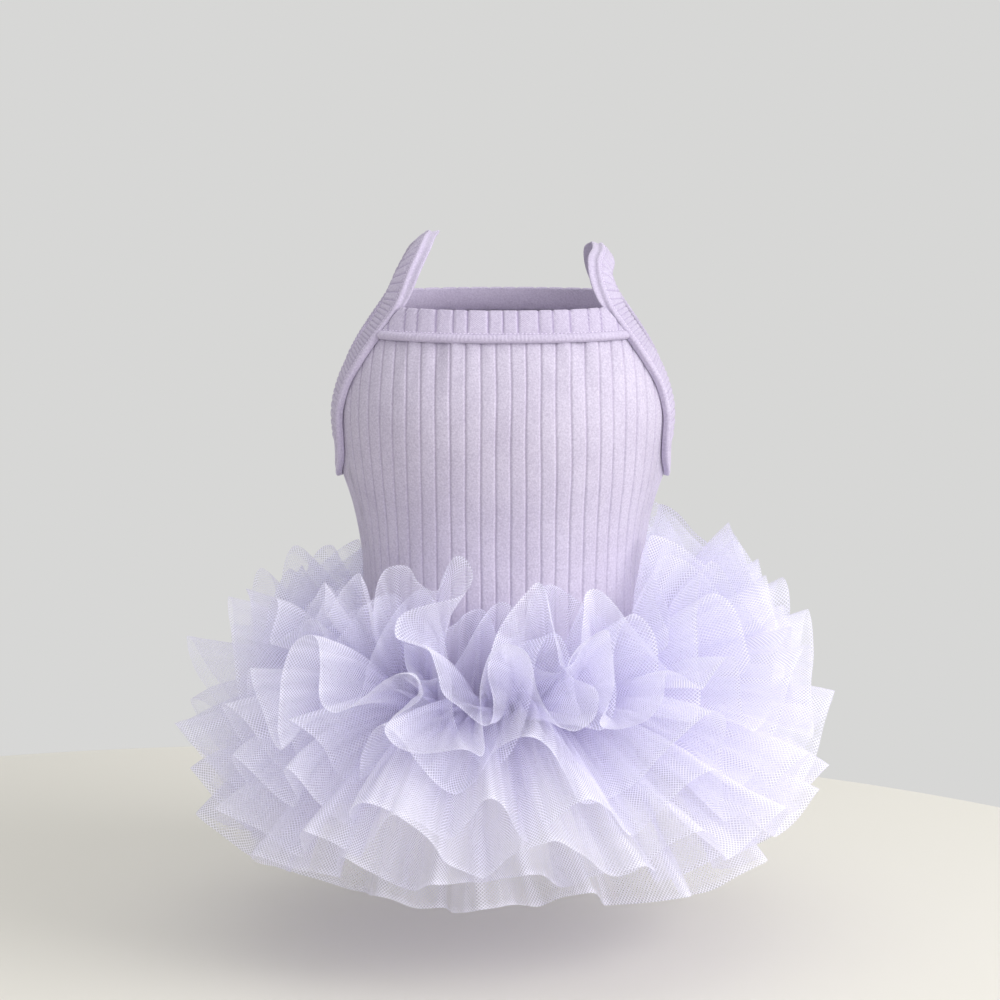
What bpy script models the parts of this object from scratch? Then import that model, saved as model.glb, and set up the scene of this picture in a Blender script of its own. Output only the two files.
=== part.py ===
"""Dog dress: a rib knit bodice held by two bound straps, with a skirt of five ruffled tulle tiers.

Metres, +Z up. The dress stands as it is worn on an upright body: +Z towards the head, -Y is the dog's
back, which carries the look of the dress, and +Y its belly. The origin is at the height of the strap
tops, on the axis of the body, so every level below is a drop from there.
Turns are angles in degrees round the body: 0 faces -Y, 90 faces +X and 180 faces +Y.
"""
import math

import bmesh
import bpy
from mathutils import Vector

# Body that the bodice follows
BODICE_DROP = 0.1750
CHEST_WIDTH = 0.1268
CHEST_DEPTH = 0.1200
BODY_SQUARENESS = 2.4

# Knit walls
KNIT_WALL = 0.0014
RIB_PITCH = 0.00515
RIB_GROOVE = 0.0011
RIB_RELIEF = 0.0005
SIDE_SEAM_GAP = 0.0004
CLEARANCE = 0.0003

# Bound edges: the neck bands, and the straps that run on round the leg holes
BAND_WALL = 0.0021
NECK_DROP = 0.0230
NECK_BAND_HEIGHT = 0.0110
NECK_RIB_PITCH = 0.0060
NECK_RIB_RELIEF = 0.0004
STRAP_WIDTH = 0.0102
STRAP_LINING = 0.0030
ARMHOLE_DROP = 0.0870
RIGHT_STRAP_LOWER = 0.0045
EDGE_UNDERLAP = 0.0022

# Tulle skirt
SEAM_ALLOWANCE = 0.0076
SKIRT_SEAM_DROP = BODICE_DROP - SEAM_ALLOWANCE
TULLE_WALL = 0.0010
TIER_LENGTH = 0.0690
TIER_SPACING = 0.0018
RUFFLE_DEPTH = 0.0145
LOOP_SWELL = 0.10
TIER_BEND = 0.5

# Mesh densities and tolerances
PANEL_LEVELS = [0.0, 0.35, 0.62, 0.82, 1.0]
STRAP_STATIONS = 48
RIB_COLUMNS = 3
FOLD_COLUMNS = 6
EDGE_SAMPLES = 240
MERGE_DISTANCE = 0.00001
SMOOTH_ANGLE = math.radians(40)
TURN_STEP = 0.5
DROP_STEP = 0.0005

# Drop as a share of BODICE_DROP, width as a share of CHEST_WIDTH, depth as a share of CHEST_DEPTH
CHEST_LEVEL = 0.343
BODY_SECTIONS = [
    {"drop": 0.000, "width": 0.400, "depth": 0.380},
    {"drop": 0.012, "width": 0.475, "depth": 0.483},
    {"drop": 0.040, "width": 0.600, "depth": 0.608},
    {"drop": 0.086, "width": 0.702, "depth": 0.708},
    {"drop": 0.143, "width": 0.800, "depth": 0.783},
    {"drop": 0.229, "width": 0.935, "depth": 0.908},
    {"drop": CHEST_LEVEL, "width": 1.000, "depth": 1.000},
    {"drop": 0.463, "width": 0.943, "depth": 0.958},
    {"drop": 0.560, "width": 0.861, "depth": 0.883},
    {"drop": 0.657, "width": 0.814, "depth": 0.842},
    {"drop": 0.731, "width": 0.808, "depth": 0.842},
    {"drop": 1.000, "width": 0.848, "depth": 0.870},
]

# Seam edge of a strap from its top, down beside the back panel and under the leg hole:
# drop as a share of ARMHOLE_DROP, the turn there, and the share of STRAP_LINING that shows
STRAP_PATH = [
    {"drop": 0.000, "turn": 90.0, "lining": 1.00},
    {"drop": 0.014, "turn": 66.0, "lining": 1.00},
    {"drop": 0.052, "turn": 50.5, "lining": 1.00},
    {"drop": 0.138, "turn": 44.3, "lining": 0.95},
    {"drop": 0.230, "turn": 43.0, "lining": 0.70},
    {"drop": 0.300, "turn": 44.0, "lining": 0.10},
    {"drop": 0.420, "turn": 48.0, "lining": 0.00},
    {"drop": 0.500, "turn": 51.5, "lining": 0.00},
    {"drop": 0.586, "turn": 55.3, "lining": 0.00},
    {"drop": 0.700, "turn": 58.3, "lining": 0.00},
    {"drop": 0.805, "turn": 59.8, "lining": 0.00},
    {"drop": 0.885, "turn": 63.0, "lining": 0.00},
    {"drop": 0.960, "turn": 72.0, "lining": 0.00},
    {"drop": 1.000, "turn": 90.0, "lining": 0.00},
]

# Section of a bound edge: way from the free edge to the seam as a share of the width,
# height over the panel as a share of BAND_WALL, and the share of the lining beyond the seam
BINDING_SECTION = [
    {"across": 0.00, "rise": 0.00, "lining": 0.0},
    {"across": 0.00, "rise": 0.85, "lining": 0.0},
    {"across": 0.78, "rise": 0.85, "lining": 0.0},
    {"across": 0.88, "rise": 1.15, "lining": 0.0},
    {"across": 1.00, "rise": 0.85, "lining": 0.0},
    {"across": 1.00, "rise": 0.40, "lining": 1.0},
    {"across": 1.00, "rise": 0.00, "lining": 1.0},
]

# Skirt tiers from the top: place in the stack on the seam, rise in degrees inside and outside the
# bend, degrees that it leans up to the right and droops at both sides, length as a share of
# TIER_LENGTH, share by which it is longer at the right and shorter at the left, ruffles as a share
# of RUFFLE_DEPTH, and the first fold
TIERS = [
    {"name": "tulle_tier_crest", "place": 2, "inner": 78, "outer": 60, "lean": 3, "droop": 6,
     "length": 0.87, "skew": 0.14, "ruffle": 0.75, "first": 0},
    {"name": "tulle_tier_upper", "place": 1, "inner": 48, "outer": 23, "lean": 3, "droop": 7,
     "length": 0.86, "skew": 0.09, "ruffle": 0.95, "first": 5},
    {"name": "tulle_tier_middle", "place": 0, "inner": 17, "outer": -4, "lean": 5, "droop": 13,
     "length": 0.94, "skew": 0.05, "ruffle": 1.00, "first": 2},
    {"name": "tulle_tier_lower", "place": -1, "inner": -21, "outer": -38, "lean": 4, "droop": 7,
     "length": 0.98, "skew": 0.03, "ruffle": 0.85, "first": 7},
    {"name": "tulle_tier_hem", "place": -2, "inner": -54, "outer": -68, "lean": 2, "droop": 1,
     "length": 0.99, "skew": 0.02, "ruffle": 0.65, "first": 4},
]
TIER_STATIONS = [0.0, TIER_BEND, 1.0]

# Folds of one half of a tier, repeated round the other half: width beside the mean, depth and
# reach of the crest as shares, and how far the crest leans sideways as a share of the width
FOLDS = [
    {"width": 1.10, "depth": 1.00, "reach": 1.00, "lean": 0.12},
    {"width": 0.85, "depth": 0.75, "reach": 0.96, "lean": -0.08},
    {"width": 1.20, "depth": 0.95, "reach": 1.03, "lean": 0.14},
    {"width": 0.90, "depth": 0.85, "reach": 0.98, "lean": 0.04},
    {"width": 1.00, "depth": 1.00, "reach": 1.02, "lean": -0.14},
    {"width": 0.80, "depth": 0.70, "reach": 0.95, "lean": 0.10},
    {"width": 1.15, "depth": 0.90, "reach": 1.01, "lean": -0.12},
    {"width": 1.00, "depth": 1.00, "reach": 0.99, "lean": 0.08},
]

KNIT_COLOUR = (0.66, 0.58, 0.76, 1.0)
BINDING_COLOUR = (0.64, 0.55, 0.76, 1.0)
TULLE_COLOUR = (0.66, 0.62, 0.88, 1.0)
CLOTH_ROUGHNESS = 0.9


def clear_scene():
    for old in list(bpy.data.objects):
        bpy.data.objects.remove(old, do_unlink=True)


def read_table(rows, key, value, at):
    """Value of a column at a place between two rows, on a smooth curve through the rows."""
    keys = [row[key] for row in rows]
    values = [row[value] for row in rows]
    at = min(max(at, keys[0]), keys[-1])
    last = len(keys) - 2
    index = next((i for i in range(last) if at < keys[i + 1]), last)
    slopes = []
    for i in (index, index + 1):
        before = max(i - 1, 0)
        after = min(i + 1, len(keys) - 1)
        slopes.append((values[after] - values[before]) / (keys[after] - keys[before]))
    span = keys[index + 1] - keys[index]
    t = (at - keys[index]) / span
    start = (2 * t ** 3 - 3 * t ** 2 + 1) * values[index] + (t ** 3 - 2 * t ** 2 + t) * span * slopes[0]
    end = (3 * t ** 2 - 2 * t ** 3) * values[index + 1] + (t ** 3 - t ** 2) * span * slopes[1]
    return start + end


def interpolate(pairs, at):
    """Straight interpolation in a list of (key, value) pairs with rising keys, held level at its ends."""
    if at <= pairs[0][0]:
        return pairs[0][1]
    for (key, value), (next_key, next_value) in zip(pairs, pairs[1:]):
        if at <= next_key:
            return value + (next_value - value) * (at - key) / (next_key - key)
    return pairs[-1][1]


def rising(pairs):
    """The pairs whose key is above every earlier key."""
    kept = []
    for pair in pairs:
        if not kept or pair[0] > kept[-1][0]:
            kept.append(pair)
    return kept


def half_sizes(drop):
    share = drop / BODICE_DROP
    half_width = read_table(BODY_SECTIONS, "drop", "width", share) * CHEST_WIDTH / 2
    half_depth = read_table(BODY_SECTIONS, "drop", "depth", share) * CHEST_DEPTH / 2
    return half_width, half_depth


def skin_point(turn, drop):
    """Point of the body's skin, whose outline is a slightly squared ellipse at each level."""
    half_width, half_depth = half_sizes(drop)
    side = math.sin(math.radians(turn))
    front = math.cos(math.radians(turn))
    size = (abs(side) ** BODY_SQUARENESS + abs(front) ** BODY_SQUARENESS) ** (-1 / BODY_SQUARENESS)
    return Vector((half_width * size * side, -half_depth * size * front, -drop))


def skin_normal(turn, drop):
    round_body = skin_point(turn + TURN_STEP, drop) - skin_point(turn - TURN_STEP, drop)
    down_body = skin_point(turn, drop + DROP_STEP) - skin_point(turn, max(drop - DROP_STEP, 0.0))
    return down_body.cross(round_body).normalized()


def body_point(turn, drop, proud):
    """Point that stands proud of the skin by a distance."""
    return skin_point(turn, drop) + skin_normal(turn, drop) * proud


def turn_and_drop(point):
    """The turn and drop of a point on or near the skin."""
    drop = max(-point.z, 0.0)
    half_width, half_depth = half_sizes(drop)
    turn = math.degrees(math.atan2(point.x / half_width, -point.y / half_depth))
    return turn, drop


def strap_controls(side):
    """Control points of a strap's seam edge, round a closed loop: point, skin normal and lining."""
    rows = []
    for row in STRAP_PATH:
        drop = row["drop"] * ARMHOLE_DROP
        above_neck_band = 1.0 - min(drop / NECK_DROP, 1.0)
        if side > 0:
            drop += RIGHT_STRAP_LOWER * above_neck_band
        rows.append((row["turn"], drop, row["lining"]))
    belly_rows = [(180.0 - turn, drop, lining) for turn, drop, lining in reversed(rows[1:-1])]
    return [
        (skin_point(turn * side, drop), skin_normal(turn * side, drop), lining)
        for turn, drop, lining in rows + belly_rows
    ]


def curve_weights(t):
    """Weights of four neighbouring control points on a smooth curve through the middle two."""
    return (
        (2 * t * t - t - t ** 3) / 2,
        (2 - 5 * t * t + 3 * t ** 3) / 2,
        (t + 4 * t * t - 3 * t ** 3) / 2,
        (t ** 3 - t * t) / 2,
    )


def blend_controls(four, weights):
    point = sum((weight * control[0] for weight, control in zip(weights, four)), Vector())
    normal = sum((weight * control[1] for weight, control in zip(weights, four)), Vector())
    lining = sum(weight * control[2] for weight, control in zip(weights, four))
    return point, normal.normalized(), min(max(lining, 0.0), 1.0)


def strap_frames(side, count):
    """Evenly spaced stations of a strap: seam edge, outward normal, way to the free edge, lining."""
    controls = strap_controls(side)
    total = len(controls)
    steps = EDGE_SAMPLES // total + 1
    fine = []
    for index in range(total):
        four = [controls[(index + shift) % total] for shift in (-1, 0, 1, 2)]
        fine.extend(blend_controls(four, curve_weights(step / steps)) for step in range(steps))
    lengths = [0.0]
    for here, after in zip(fine, fine[1:] + fine[:1]):
        lengths.append(lengths[-1] + (after[0] - here[0]).length)
    frames = []
    for station in range(count):
        target = lengths[-1] * station / count
        index = next(i for i in range(len(fine)) if lengths[i + 1] > target)
        share = (target - lengths[index]) / (lengths[index + 1] - lengths[index])
        point, normal, lining = fine[index]
        after, after_normal, after_lining = fine[(index + 1) % len(fine)]
        before = fine[index - 1][0]
        beyond = fine[(index + 2) % len(fine)][0]
        outward = normal.lerp(after_normal, share).normalized()
        to_free_edge = outward.cross(beyond - before).normalized() * side
        shown = lining + (after_lining - lining) * share
        frames.append((point.lerp(after, share), outward, to_free_edge, shown))
    return frames


def strap_line(side, belly, past_seam, past_lining):
    """Line beside a strap's seam edge on one side of the body, as (turn, drop) pairs from the top.

    past_seam lies towards the free edge; past_lining is the share of the shown lining to clear.
    """
    pairs = []
    for point, _, to_free_edge, lining in strap_frames(side, EDGE_SAMPLES):
        away = past_seam - past_lining * lining * STRAP_LINING
        turn, drop = turn_and_drop(point + to_free_edge * away)
        turn = 180.0 - abs(turn) if belly else abs(turn)
        if turn <= 90.0:
            pairs.append((turn, drop))
    return sorted(pairs, key=lambda pair: pair[1])


def finish_mesh(name, bm, colour):
    """Turns a closed bmesh into an object with its own material."""
    bmesh.ops.recalc_face_normals(bm, faces=bm.faces)
    mesh = bpy.data.meshes.new(name)
    bm.to_mesh(mesh)
    bm.free()
    mesh.shade_smooth()
    mesh.set_sharp_from_angle(angle=SMOOTH_ANGLE)
    material = bpy.data.materials.new(name + "_cloth")
    material.use_nodes = True
    shader = material.node_tree.nodes["Principled BSDF"]
    shader.inputs["Base Color"].default_value = colour
    shader.inputs["Roughness"].default_value = CLOTH_ROUGHNESS
    shader.inputs["Metallic"].default_value = 0.0
    mesh.materials.append(material)
    piece = bpy.data.objects.new(name, mesh)
    bpy.context.collection.objects.link(piece)


def add_grid(bm, columns, rows, place):
    """Adds a grid of faces whose vertices go where place(column, row) says, and returns them by place."""
    made = bmesh.ops.create_grid(bm, x_segments=columns, y_segments=rows, size=0.5)
    grid = {}
    for vert in made["verts"]:
        column = round((vert.co.x + 0.5) * columns)
        row = round((vert.co.y + 0.5) * rows)
        vert.co = place(column, row)
        grid[column, row] = vert
    return grid


def rib_place(column, ribs, groove):
    """Share of the way across a ribbed piece at a column: each rib has a groove and two shoulders."""
    rib, part = divmod(column, RIB_COLUMNS)
    return (rib + (0.0, groove, 1.0 - groove)[part]) / ribs


def build_panel(name, belly):
    """One half of the bodice from side seam to side seam, ribbed on its outer face."""
    lines = {}
    for side in (-1, 1):
        line = strap_line(side, belly, EDGE_UNDERLAP, 0.0)
        below_band = [pair for pair in line if pair[1] > NECK_DROP + NECK_BAND_HEIGHT / 2]
        lines[side] = rising(below_band)
    under_band = NECK_DROP + NECK_BAND_HEIGHT - EDGE_UNDERLAP
    chest_drop = CHEST_LEVEL * BODICE_DROP
    around = [skin_point(turn, chest_drop) for turn in range(181)]
    girth = sum((after - here).length for here, after in zip(around, around[1:]))
    ribs = round(girth / RIB_PITCH)
    groove = RIB_GROOVE / (2 * RIB_PITCH)
    last_turn = 90.0 - math.degrees(SIDE_SEAM_GAP / CHEST_DEPTH)

    def place_at(groove_proud, rib_proud):
        def place(column, row):
            turn = last_turn * (2.0 * rib_place(column, ribs, groove) - 1.0)
            top = max(under_band, interpolate(lines[1 if turn > 0 else -1], abs(turn)))
            drop = BODICE_DROP + (top - BODICE_DROP) * PANEL_LEVELS[row]
            proud = rib_proud if column % RIB_COLUMNS else groove_proud
            on_body = math.copysign(180.0, turn) - turn if belly else turn
            return body_point(on_body, drop, proud)
        return place

    bm = bmesh.new()
    columns = ribs * RIB_COLUMNS
    rows = len(PANEL_LEVELS) - 1
    add_grid(bm, columns, rows, place_at(KNIT_WALL - RIB_RELIEF, KNIT_WALL))
    inner = add_grid(bm, columns, rows, place_at(0.0, 0.0))
    rims = [edge for edge in bm.edges if edge.is_boundary]
    between_grooves = [
        bm.edges.get((inner[column, row], inner[column, row + 1]))
        for column in range(1, columns) if column % RIB_COLUMNS
        for row in range(rows)
    ]
    bmesh.ops.bridge_loops(bm, edges=rims)
    bmesh.ops.dissolve_edges(bm, edges=between_grooves, use_verts=True)
    finish_mesh(name, bm, KNIT_COLOUR)


def build_neck_band(name, belly):
    """Ribbed band across the neck edge, from strap to strap, with a rolled seam edge below."""
    lines = {side: strap_line(side, belly, -CLEARANCE, 1.0) for side in (-1, 1)}
    ends = {side: rising([(drop, turn) for turn, drop in line]) for side, line in lines.items()}
    middle_drop = NECK_DROP + NECK_BAND_HEIGHT / 2
    left, right = (skin_point(side * interpolate(ends[side], middle_drop), middle_drop) for side in (-1, 1))
    ribs = round((right - left).length / NECK_RIB_PITCH)
    groove = RIB_GROOVE / (2 * NECK_RIB_PITCH)

    def place(column, row):
        corner = BINDING_SECTION[row % len(BINDING_SECTION)]
        drop = NECK_DROP + NECK_BAND_HEIGHT * corner["across"]
        share = rib_place(column, ribs, groove)
        first = -interpolate(ends[-1], drop)
        turn = first + (interpolate(ends[1], drop) - first) * share
        proud = KNIT_WALL + CLEARANCE + BAND_WALL * corner["rise"]
        if corner["rise"] > 0.0 and column % RIB_COLUMNS == 0:
            proud -= NECK_RIB_RELIEF
        return body_point(180.0 - turn if belly else turn, drop, proud)

    bm = bmesh.new()
    add_grid(bm, ribs * RIB_COLUMNS, len(BINDING_SECTION), place)
    bmesh.ops.remove_doubles(bm, verts=bm.verts, dist=MERGE_DISTANCE)
    rims = [edge for edge in bm.edges if edge.is_boundary]
    bmesh.ops.holes_fill(bm, edges=rims, sides=len(BINDING_SECTION))
    finish_mesh(name, bm, BINDING_COLOUR)


def build_strap(name, side):
    """Bound strap: over the shoulder, down both panels and round under the leg as one closed loop."""
    frames = strap_frames(side, STRAP_STATIONS)

    def place(column, row):
        point, outward, to_free_edge, lining = frames[column % STRAP_STATIONS]
        corner = BINDING_SECTION[row % len(BINDING_SECTION)]
        to_side = STRAP_WIDTH * (1.0 - corner["across"]) - STRAP_LINING * lining * corner["lining"]
        proud = KNIT_WALL + CLEARANCE + BAND_WALL * corner["rise"]
        return point + to_free_edge * to_side + outward * proud

    bm = bmesh.new()
    add_grid(bm, STRAP_STATIONS, len(BINDING_SECTION), place)
    bmesh.ops.remove_doubles(bm, verts=bm.verts, dist=MERGE_DISTANCE)
    finish_mesh(name, bm, BINDING_COLOUR)


def fold_columns(first):
    """Columns round a tier: turn, wave from -1 to 1, reach and sideways lean in degrees of turn."""
    folds = FOLDS[first:] + FOLDS + FOLDS[:first]
    total = sum(fold["width"] for fold in folds)
    columns = []
    start = 0.0
    for fold in folds:
        width = 360.0 * fold["width"] / total
        for step in range(FOLD_COLUMNS):
            phase = 2 * math.pi * step / FOLD_COLUMNS
            wave = math.sin(phase)
            sideways = width * (fold["lean"] * wave - LOOP_SWELL * math.sin(2 * phase))
            reach = 1.0 + (fold["reach"] - 1.0) * max(wave, 0.0)
            columns.append((start + width * step / FOLD_COLUMNS, wave * fold["depth"], reach, sideways))
        start += width
    return columns


def tier_point(tier, column, station):
    """Point on the middle of a tier's cloth: column round the body, station from the seam to the edge."""
    turn, wave, reach, sideways = column
    side = math.sin(math.radians(turn))
    length = TIER_LENGTH * tier["length"] * reach * (1.0 + tier["skew"] * side)
    seam_drop = SKIRT_SEAM_DROP - tier["place"] * TIER_SPACING
    seam_proud = KNIT_WALL + CLEARANCE + TULLE_WALL / 2
    turn += sideways * station
    root = body_point(turn, seam_drop, seam_proud)
    outward = Vector((root.x, root.y, 0.0)).normalized()
    tilt = tier["lean"] * side - tier["droop"] * side ** 2
    inner = math.radians(tier["inner"] + tilt)
    outer = math.radians(tier["outer"] + tilt)
    inner_run = min(station, TIER_BEND) * length
    outer_run = max(station - TIER_BEND, 0.0) * length
    out = inner_run * math.cos(inner) + outer_run * math.cos(outer)
    up = inner_run * math.sin(inner) + outer_run * math.sin(outer)
    ruffle = RUFFLE_DEPTH * tier["ruffle"] * wave * station
    facing = inner + (outer - inner) * station
    out -= ruffle * math.sin(facing)
    up += ruffle * math.cos(facing)
    return root + outward * out + Vector((0.0, 0.0, up))


def split_alike(bm, spots, count, last):
    """Splits the quads of a tier's upper and lower face along matching diagonals, for an even wall."""
    for column in range(count):
        for level in range(last):
            upper_pair = [spots[column, level], spots[column + 1, level + 1]]
            lower_pair = [spots[column, 2 * last + 1 - level], spots[column + 1, 2 * last - level]]
            bmesh.ops.connect_verts(bm, verts=upper_pair)
            bmesh.ops.connect_verts(bm, verts=lower_pair)


def build_tier(tier):
    """Ring of gathered tulle that fans out from the skirt seam in loose folds."""
    columns = fold_columns(tier["first"])
    count = len(columns)
    last = len(TIER_STATIONS) - 1
    middle = [[tier_point(tier, column, station) for station in TIER_STATIONS] for column in columns]

    def normal_at(column, level):
        along = middle[column][min(level + 1, last)] - middle[column][max(level - 1, 0)]
        round_body = middle[(column + 1) % count][level] - middle[column - 1][level]
        return round_body.cross(along).normalized()

    def place(column, row):
        column %= count
        row %= 2 * last + 2
        upper_face = row <= last
        level = row if upper_face else 2 * last + 1 - row
        half_wall = TULLE_WALL / 2 if upper_face else -TULLE_WALL / 2
        return middle[column][level] + normal_at(column, level) * half_wall

    bm = bmesh.new()
    spots = add_grid(bm, count, 2 * last + 2, place)
    split_alike(bm, spots, count, last)
    bmesh.ops.remove_doubles(bm, verts=bm.verts, dist=MERGE_DISTANCE)
    finish_mesh(tier["name"], bm, TULLE_COLOUR)


def main():
    clear_scene()
    build_panel("back_panel", belly=False)
    build_panel("belly_panel", belly=True)
    build_neck_band("back_neck_band", belly=False)
    build_neck_band("belly_neck_band", belly=True)
    build_strap("strap_left", side=-1)
    build_strap("strap_right", side=1)
    for tier in TIERS:
        build_tier(tier)


main()
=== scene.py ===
"""Looks of the dog dress: rib knit bodice, bound straps and neck, and a skirt of ruffled tulle plies.

Metres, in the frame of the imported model: +Z towards the head, -Y is the dog's back, which faces the
camera, and the origin is at the height of the strap tops. Drops are measured down from there, and
turns are degrees round the body: 0 faces -Y, 90 faces +X and 180 faces +Y.
"""
import math
import random

import bmesh
import bpy
from mathutils import Matrix, Vector, noise


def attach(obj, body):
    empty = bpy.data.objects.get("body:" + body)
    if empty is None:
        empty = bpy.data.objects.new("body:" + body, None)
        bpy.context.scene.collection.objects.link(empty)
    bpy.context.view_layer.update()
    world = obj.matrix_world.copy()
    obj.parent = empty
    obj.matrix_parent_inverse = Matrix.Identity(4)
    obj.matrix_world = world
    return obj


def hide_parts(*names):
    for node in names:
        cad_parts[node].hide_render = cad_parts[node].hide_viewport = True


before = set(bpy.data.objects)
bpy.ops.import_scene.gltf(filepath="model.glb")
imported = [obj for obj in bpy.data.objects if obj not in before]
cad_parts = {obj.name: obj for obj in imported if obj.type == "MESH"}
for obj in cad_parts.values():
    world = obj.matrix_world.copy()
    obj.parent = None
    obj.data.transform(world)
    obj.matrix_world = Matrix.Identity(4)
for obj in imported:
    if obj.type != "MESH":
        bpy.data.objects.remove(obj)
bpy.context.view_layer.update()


def table(heads, *rows):
    """Rows with the heads, which are parted by spaces, as their keys."""
    return [dict(zip(heads.split(), row)) for row in rows]


# Body that the bodice follows
BODICE_DROP = 0.1750
CHEST_WIDTH = 0.1268
CHEST_DEPTH = 0.1200
BODY_SQUARENESS = 2.4
NORMAL_TURN_STEP = 0.5
NORMAL_DROP_STEP = 0.0005

# Knit walls and ribs
KNIT_WALL = 0.0014
RIB_PITCH = 0.00515
RIB_GROOVE = 0.0012
RIB_RELIEF = 0.00038
RIB_CROWN = 0.00012
RIB_STOPS = [0.0, 0.055, 0.11, 0.17, 0.32, 0.5, 0.68, 0.83, 0.89, 0.945]
FRONT_RIB_SPREAD = 1.04
MOST_RIB_SPREAD = 0.28
SPREAD_TRIES = 3
PANEL_ROWS = 48
SIDE_SEAM_GAP = 0.0004
CLEARANCE = 0.0003

# Gathers under the neck band, then how far the ribs wander, in degrees, and the knit swells
GATHER_RELIEF = 0.0013
GATHER_REACH = 0.014
GATHER_TURNS = (44.0, 36.0)
GATHERS_A_DEGREE = 0.2
KNIT_WANDER = 0.5
WANDER_START = 0.02
KNIT_SWELL = 0.0004
SWELL_START = 0.03
SWELLS_A_DEGREE = 0.06
SWELLS_A_METRE = 30.0

# Bound edges
BAND_WALL = 0.0021
NECK_DROP = 0.0230
NECK_BAND_HEIGHT = 0.0110
NECK_RIB_PITCH = 0.0057
STRAP_WIDTH = 0.0102
STRAP_LINING = 0.0030
ARMHOLE_DROP = 0.0870
RIGHT_STRAP_LOWER = 0.0045
EDGE_UNDERLAP = 0.0022
BINDING_BASE = KNIT_WALL + CLEARANCE
NECK_RIB_RELIEF = 0.00055
NECK_RIB_JITTER = 0.12
JITTER_A_RIB = 2.3
NECK_GROOVE = 0.13
NECK_SCALLOP = 0.02
SCALLOP_GROOVE = 0.2
SCALLOP_END = 0.1
BAND_COLUMNS_A_RIB = 18
STRAP_RIB_RELIEF = 0.0004
STRAP_GROOVE = 0.24
STRAP_STATIONS = 900
STRAP_LINE_STATIONS = 240
STEPS_A_CONTROL = 24
FREE_EDGE_LIFT = 0.1
LIFT_END = 0.72
SECTION_STEP = 0.0013

# Rolled seam edge, which is what rises over ROLL_RISE, and the stitches beside it
ROLL_RISE = 0.9
ROLL_TWIST = 0.00008
ROLL_LAY = 14.0
NARROW_ROLL_LOSS = 1.5
STITCH_PITCH = 0.0013
STITCH_LENGTH = 0.0008
STITCH_RADIUS = 0.00015
STITCH_HEIGHT = 0.0018

# Tulle skirt
SKIRT_SEAM_DROP = 0.1674
TIER_LENGTH = 0.0690
TIER_SPACING = 0.0018
SEAM_STAND_OFF = 0.0004
EDGE_STEP = 0.0015
PLY_ROWS = 24
SPINE_STEPS = 6

# Folds at a free edge: the range of widths and of the shares of a ply's own fullness and roundness,
# how much fuller a narrow fold is, and how far edges rise and fall, in degrees, and reach out
FOLD_WIDTHS = (0.6, 1.55)
FULLNESS_SPREAD = (0.85, 1.15)
ROUNDNESS_SPREAD = (0.6, 1.4)
NARROW_FOLD_POWER = -0.3
EDGE_LIFT = 9.0
EDGE_REACH = 0.07
MOST_SWING = math.radians(130)
SWING_TRIES = 16
FOLD_STEPS = 48
TRACED_STEPS = 8
MEETING_SHARE = 0.04
BEND_REACH = 3
SHARP_BEND = 1.3

# Small pleats that take up the spare cloth between the seam and the folds, and the net's waviness
PLEAT_COLUMNS = 8
PLEAT_STRENGTH = 1.25
MOST_PLEAT = 0.0042
PLEAT_START = 0.06
PLEAT_FADE = 0.3
PLEAT_WANDER = 0.7
PLEAT_WANDER_RATE = 0.11
PLEAT_LIFT = 0.8
TURN_FREEDOM = 0.65
REACH_POWER = 0.8
NET_WAVE = 0.0022
NET_WAVES_A_METRE = 50.0
SEED_SHIFT = 3.7
NOISE_SEED = 1

# How much light the net stops: evenly, at bends, at its rim, in creases, in clouds and less at the edge
EVEN_COVER = 0.24
BEND_COVER = 0.16
RIM_COVER = 0.16
CREASE_COVER = 0.18
CLOUD_COVER = 0.1
THINNING = 0.04
CREASES_A_COLUMN = 0.4
CREASES_A_PLY = 1.4
CLOUDS_A_METRE = 45.0
# How fast the painted shade near the seam fades towards the free edge
SEAM_SHADE_FADE_POWER = 0.7

# Drop as a share of BODICE_DROP, width as a share of CHEST_WIDTH, depth as a share of CHEST_DEPTH
CHEST_LEVEL = 0.343
BODY_SECTIONS = table(
    "drop width depth",
    (0.000, 0.400, 0.380),
    (0.012, 0.475, 0.483),
    (0.040, 0.600, 0.608),
    (0.086, 0.702, 0.708),
    (0.143, 0.800, 0.783),
    (0.229, 0.935, 0.908),
    (CHEST_LEVEL, 1.000, 1.000),
    (0.463, 0.943, 0.958),
    (0.560, 0.861, 0.883),
    (0.657, 0.814, 0.842),
    (0.731, 0.808, 0.842),
    (1.000, 0.848, 0.870),
)

# Seam edge of a strap from its top: drop as a share of ARMHOLE_DROP, the turn there, the share of
# STRAP_WIDTH, the share of STRAP_LINING that shows, and the pitch in metres of the ribs across it
STRAP_PATH = table(
    "drop turn width lining pitch",
    (0.000, 90.0, 0.62, 1.00, 0.0052),
    (0.014, 66.0, 0.70, 1.00, 0.0052),
    (0.052, 50.5, 0.84, 1.00, 0.0048),
    (0.138, 44.3, 0.98, 0.95, 0.0042),
    (0.230, 43.0, 1.00, 0.70, 0.0036),
    (0.300, 44.0, 1.00, 0.10, 0.0022),
    (0.420, 48.0, 1.00, 0.00, 0.0016),
    (0.500, 51.5, 1.00, 0.00, 0.0016),
    (0.586, 55.3, 1.00, 0.00, 0.0018),
    (0.700, 58.3, 1.00, 0.00, 0.0026),
    (0.805, 59.8, 1.00, 0.00, 0.0036),
    (0.885, 63.0, 0.94, 0.00, 0.0042),
    (0.960, 72.0, 0.80, 0.00, 0.0042),
    (1.000, 90.0, 0.72, 0.00, 0.0042),
)

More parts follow.
